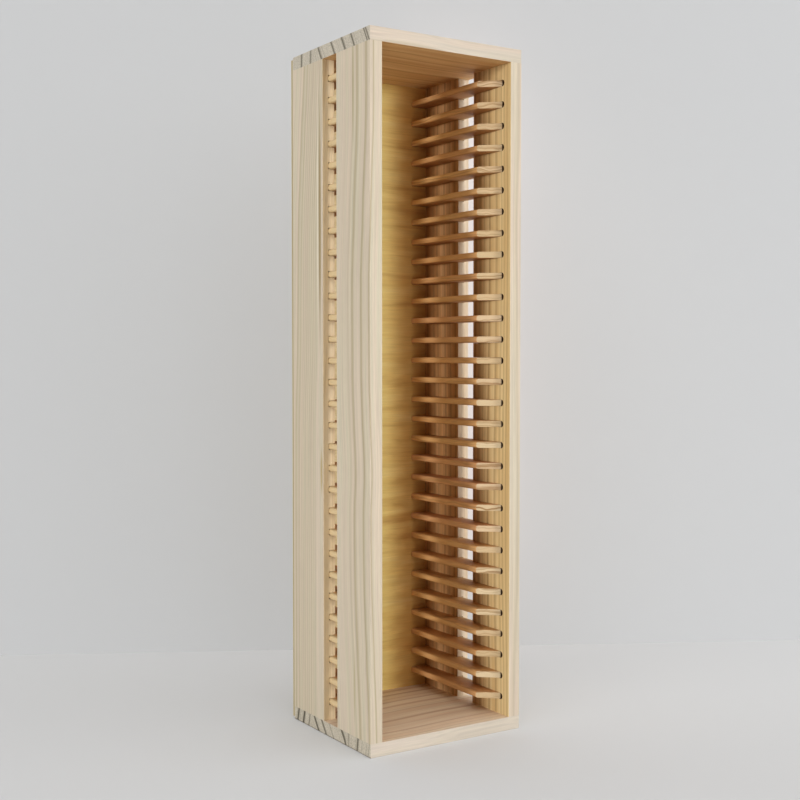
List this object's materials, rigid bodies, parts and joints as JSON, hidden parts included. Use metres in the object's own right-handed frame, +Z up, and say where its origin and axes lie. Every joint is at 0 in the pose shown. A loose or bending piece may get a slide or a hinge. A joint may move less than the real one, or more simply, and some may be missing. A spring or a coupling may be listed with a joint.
{
  "type": "disc storage tower",
  "caption": "Tall, narrow, open-fronted pine storage tower. Bevelled slats in stopped grooves line both slotted side walls and hold disc cases flat, one above another.",
  "frame": {"origin": "middle of the footprint, on the floor", "axes": "+Z up, -Y towards the open front, +X to the right seen from the front"},
  "size_m": [0.158, 0.14, 0.61],
  "materials": {
    "pine_board": "satin",
    "pine_slat": "satin",
    "back_plywood": "satin"
  },
  "bodies": {
    "root": {"bottom_board": "pine_board", "top_board": "pine_board", "back_panel": "back_plywood", "right_front_upright": "pine_board", "right_rear_upright": "pine_board", "right_slat_03": "pine_slat", "right_slat_04": "pine_slat", "right_slat_05": "pine_slat", "right_slat_06": "pine_slat", "right_slat_07": "pine_slat", "right_slat_08": "pine_slat", "right_slat_09": "pine_slat", "right_slat_10": "pine_slat", "right_slat_11": "pine_slat", "right_slat_12": "pine_slat", "right_slat_13": "pine_slat", "right_slat_14": "pine_slat", "right_slat_15": "pine_slat", "right_slat_16": "pine_slat", "right_slat_17": "pine_slat", "right_slat_18": "pine_slat", "right_slat_19": "pine_slat", "right_slat_20": "pine_slat", "right_slat_21": "pine_slat", "right_slat_22": "pine_slat", "right_slat_23": "pine_slat", "right_slat_24": "pine_slat", "right_slat_25": "pine_slat", "right_slat_26": "pine_slat", "right_slat_27": "pine_slat", "right_slat_28": "pine_slat", "left_front_upright": "pine_board", "left_rear_upright": "pine_board", "left_slat_03": "pine_slat", "left_slat_04": "pine_slat", "left_slat_05": "pine_slat", "left_slat_06": "pine_slat", "left_slat_07": "pine_slat", "left_slat_08": "pine_slat", "left_slat_09": "pine_slat", "left_slat_10": "pine_slat", "left_slat_11": "pine_slat", "left_slat_12": "pine_slat", "left_slat_13": "pine_slat", "left_slat_14": "pine_slat", "left_slat_15": "pine_slat", "left_slat_16": "pine_slat", "left_slat_17": "pine_slat", "left_slat_18": "pine_slat", "left_slat_19": "pine_slat", "left_slat_20": "pine_slat", "left_slat_21": "pine_slat", "left_slat_22": "pine_slat", "left_slat_23": "pine_slat", "left_slat_24": "pine_slat", "left_slat_25": "pine_slat", "left_slat_26": "pine_slat", "left_slat_27": "pine_slat", "left_slat_28": "pine_slat"}
  },
  "joints": []
}
